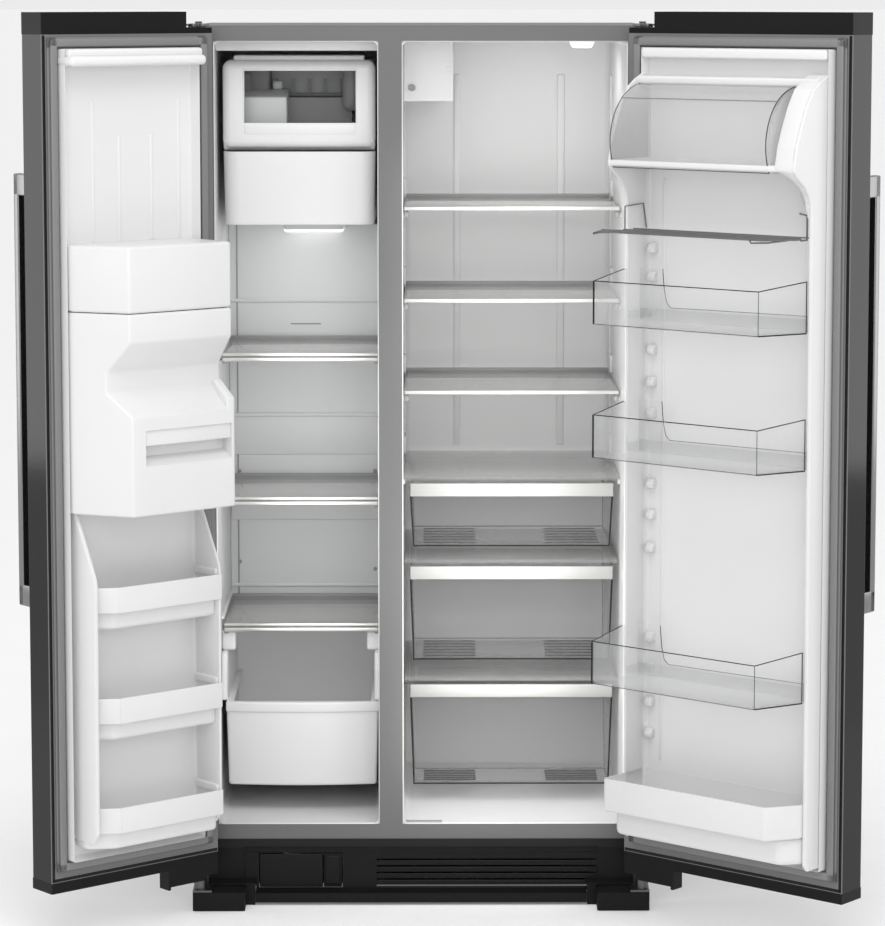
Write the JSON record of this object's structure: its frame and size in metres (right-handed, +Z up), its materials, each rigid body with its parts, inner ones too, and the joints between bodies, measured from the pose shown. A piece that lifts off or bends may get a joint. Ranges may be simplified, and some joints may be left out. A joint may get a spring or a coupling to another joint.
{
  "type": "side by side refrigerator",
  "caption": "Two-door side by side refrigerator, doors open, with glass shelves, crisper drawers, door bins, ice maker, basket and door dispenser.",
  "frame": {"origin": "on the floor, under the middle of the cabinet's front edge", "axes": "+X to the right seen from the front, +Y into the cabinet, +Z up"},
  "size_m": [1.6362, 1.2173, 1.7774],
  "materials": {
    "cabinet_paint": "satin grey paint",
    "frame_paint": "satin grey paint",
    "door_gloss": "gloss black",
    "handle_steel": "brushed",
    "steel": "zinc plated",
    "trim_steel": "satin",
    "trim_chrome": "polished",
    "coil_aluminium": "mill finish",
    "coil_black": "matt black",
    "compressor_black": "satin black",
    "liner_white": "vacuum-formed, satin",
    "panel_white": "moulded, satin",
    "moulded_white": "moulded, satin",
    "clear_plastic": "clear",
    "shelf_glass": "clear",
    "frosted": "frosted",
    "foam": "rigid foam",
    "black_plastic": "moulded, satin",
    "grey_plastic": "moulded",
    "gasket_grey": "soft vinyl",
    "roller_plastic": "nylon",
    "dark_wire": "coated wire"
  },
  "bodies": {
    "cabinet": {"cabinet_panels": "cabinet_paint", "front_frame": "frame_paint", "freezer_liner": "liner_white", "fridge_liner": "liner_white", "insulation": "foam", "base_pan": "steel", "base_grille": "black_plastic", "front_legs": "black_plastic", "door_hinges": "steel", "compressor": "compressor_black", "condenser": "coil_black", "motors": "grey_plastic", "drain_pan": "black_plastic", "evaporator": "coil_aluminium", "defrost_heater": "steel", "freezer_back_panel": "panel_white", "ice_maker_shroud": "moulded_white", "ice_mould": "grey_plastic", "glass_shelves": "shelf_glass", "shelf_trims": "trim_chrome", "crisper_covers": "shelf_glass", "control_housing": "moulded_white", "light_lenses": "frosted", "inlet_valve": "grey_plastic", "machine_cover": "black_plastic", "water_filter": "moulded_white"},
    "condenser_fan": {"condenser_fan": "black_plastic"},
    "evaporator_fan": {"evaporator_fan": "black_plastic"},
    "ice_ejector": {"ice_ejector": "grey_plastic"},
    "ice_bin": {"ice_bin": "moulded_white"},
    "auger": {"auger": "steel"},
    "freezer_basket": {"freezer_basket": "moulded_white"},
    "crisper_upper": {"crisper_upper": "clear_plastic", "crisper_trim_upper": "trim_steel"},
    "crisper_middle": {"crisper_middle": "clear_plastic", "crisper_trim_middle": "trim_steel"},
    "crisper_lower": {"crisper_lower": "clear_plastic", "crisper_trim_lower": "trim_steel"},
    "filter_cover": {"filter_cover": "black_plastic"},
    "rear_rollers": {"rear_rollers": "roller_plastic"},
    "freezer_door": {"freezer_door_shell": "door_gloss", "freezer_door_caps": "black_plastic", "freezer_gasket": "gasket_grey", "freezer_handle": "handle_steel", "freezer_door_liner": "moulded_white", "ice_chute": "moulded_white", "dispenser_housing": "black_plastic", "dispenser_panel": "black_plastic", "drip_tray": "grey_plastic"},
    "dispenser_paddle": {"dispenser_paddle": "grey_plastic"},
    "chute_flap": {"chute_flap": "grey_plastic"},
    "fridge_door": {"fridge_door_shell": "door_gloss", "fridge_door_caps": "black_plastic", "fridge_gasket": "gasket_grey", "fridge_handle": "handle_steel", "fridge_door_liner": "moulded_white", "dairy_case": "moulded_white", "can_rack": "dark_wire", "door_bins": "clear_plastic"},
    "dairy_door": {"dairy_door": "clear_plastic"}
  },
  "joints": [
    {"name": "freezer_door_hinge", "type": "hinge", "parent": "cabinet", "child": "freezer_door", "pos_m": [-0.43995, -0.054, 0.9], "axis": [0, 0, 1], "range_deg": [0, 140.35]},
    {"name": "fridge_door_hinge", "type": "hinge", "parent": "cabinet", "child": "fridge_door", "pos_m": [0.43995, -0.054, 0.9], "axis": [0, 0, -1], "range_deg": [0, 139.83]},
    {"name": "crisper_upper_slide", "type": "slide", "parent": "cabinet", "child": "crisper_upper", "axis": [0, 1, 0], "range_m": [-0.3, 0]},
    {"name": "crisper_middle_slide", "type": "slide", "parent": "cabinet", "child": "crisper_middle", "axis": [0, 1, 0], "range_m": [-0.3, 0]},
    {"name": "crisper_lower_slide", "type": "slide", "parent": "cabinet", "child": "crisper_lower", "axis": [0, 1, 0], "range_m": [-0.28, 0]},
    {"name": "freezer_basket_slide", "type": "slide", "parent": "cabinet", "child": "freezer_basket", "axis": [0, 1, 0], "range_m": [-0.24, 0]},
    {"name": "ice_bin_slide", "type": "slide", "parent": "cabinet", "child": "ice_bin", "axis": [0, 1, 0], "range_m": [-0.3, 0]},
    {"name": "auger_spin", "type": "hinge", "parent": "ice_bin", "child": "auger", "pos_m": [-0.238, 0.2, 1.405], "axis": [0, 1, 0], "continuous": true},
    {"name": "ice_ejector_spin", "type": "hinge", "parent": "cabinet", "child": "ice_ejector", "pos_m": [-0.24, 0.3, 1.606], "axis": [1, 0, 0], "continuous": true},
    {"name": "evaporator_fan_spin", "type": "hinge", "parent": "cabinet", "child": "evaporator_fan", "pos_m": [-0.244, 0.545, 1.18], "axis": [0, 1, 0], "continuous": true},
    {"name": "condenser_fan_spin", "type": "hinge", "parent": "cabinet", "child": "condenser_fan", "pos_m": [-0.014, 0.643, 0.105], "axis": [1, 0, 0], "continuous": true},
    {"name": "rear_rollers_spin", "type": "hinge", "parent": "cabinet", "child": "rear_rollers", "pos_m": [0, 0.65, 0.026], "axis": [1, 0, 0], "continuous": true},
    {"name": "filter_cover_hinge", "type": "hinge", "parent": "cabinet", "child": "filter_cover", "pos_m": [-0.2412, -0.0095, 0.0345], "axis": [-1, 0, 0], "range_deg": [-80, 0]},
    {"name": "dispenser_paddle_hinge", "type": "hinge", "parent": "freezer_door", "child": "dispenser_paddle", "pos_m": [-0.56473, -0.18858, 1.198], "axis": [-0.77, -0.6381, 0], "range_deg": [-12, 0], "stiffness_Nm_per_rad": 0.4},
    {"name": "chute_flap_hinge", "type": "hinge", "parent": "freezer_door", "child": "chute_flap", "pos_m": [-0.51177, -0.25249, 1.206], "axis": [0.77, 0.6381, 0], "range_deg": [-48, 0]},
    {"name": "dairy_door_hinge", "type": "hinge", "parent": "fridge_door", "child": "dairy_door", "pos_m": [0.56712, -0.26604, 1.645], "axis": [0.7641, -0.6451, 0], "range_deg": [-75, 0]}
  ],
  "couplings": [
    {"joint": "chute_flap_hinge", "follows": "dispenser_paddle_hinge", "ratio": 4}
  ]
}
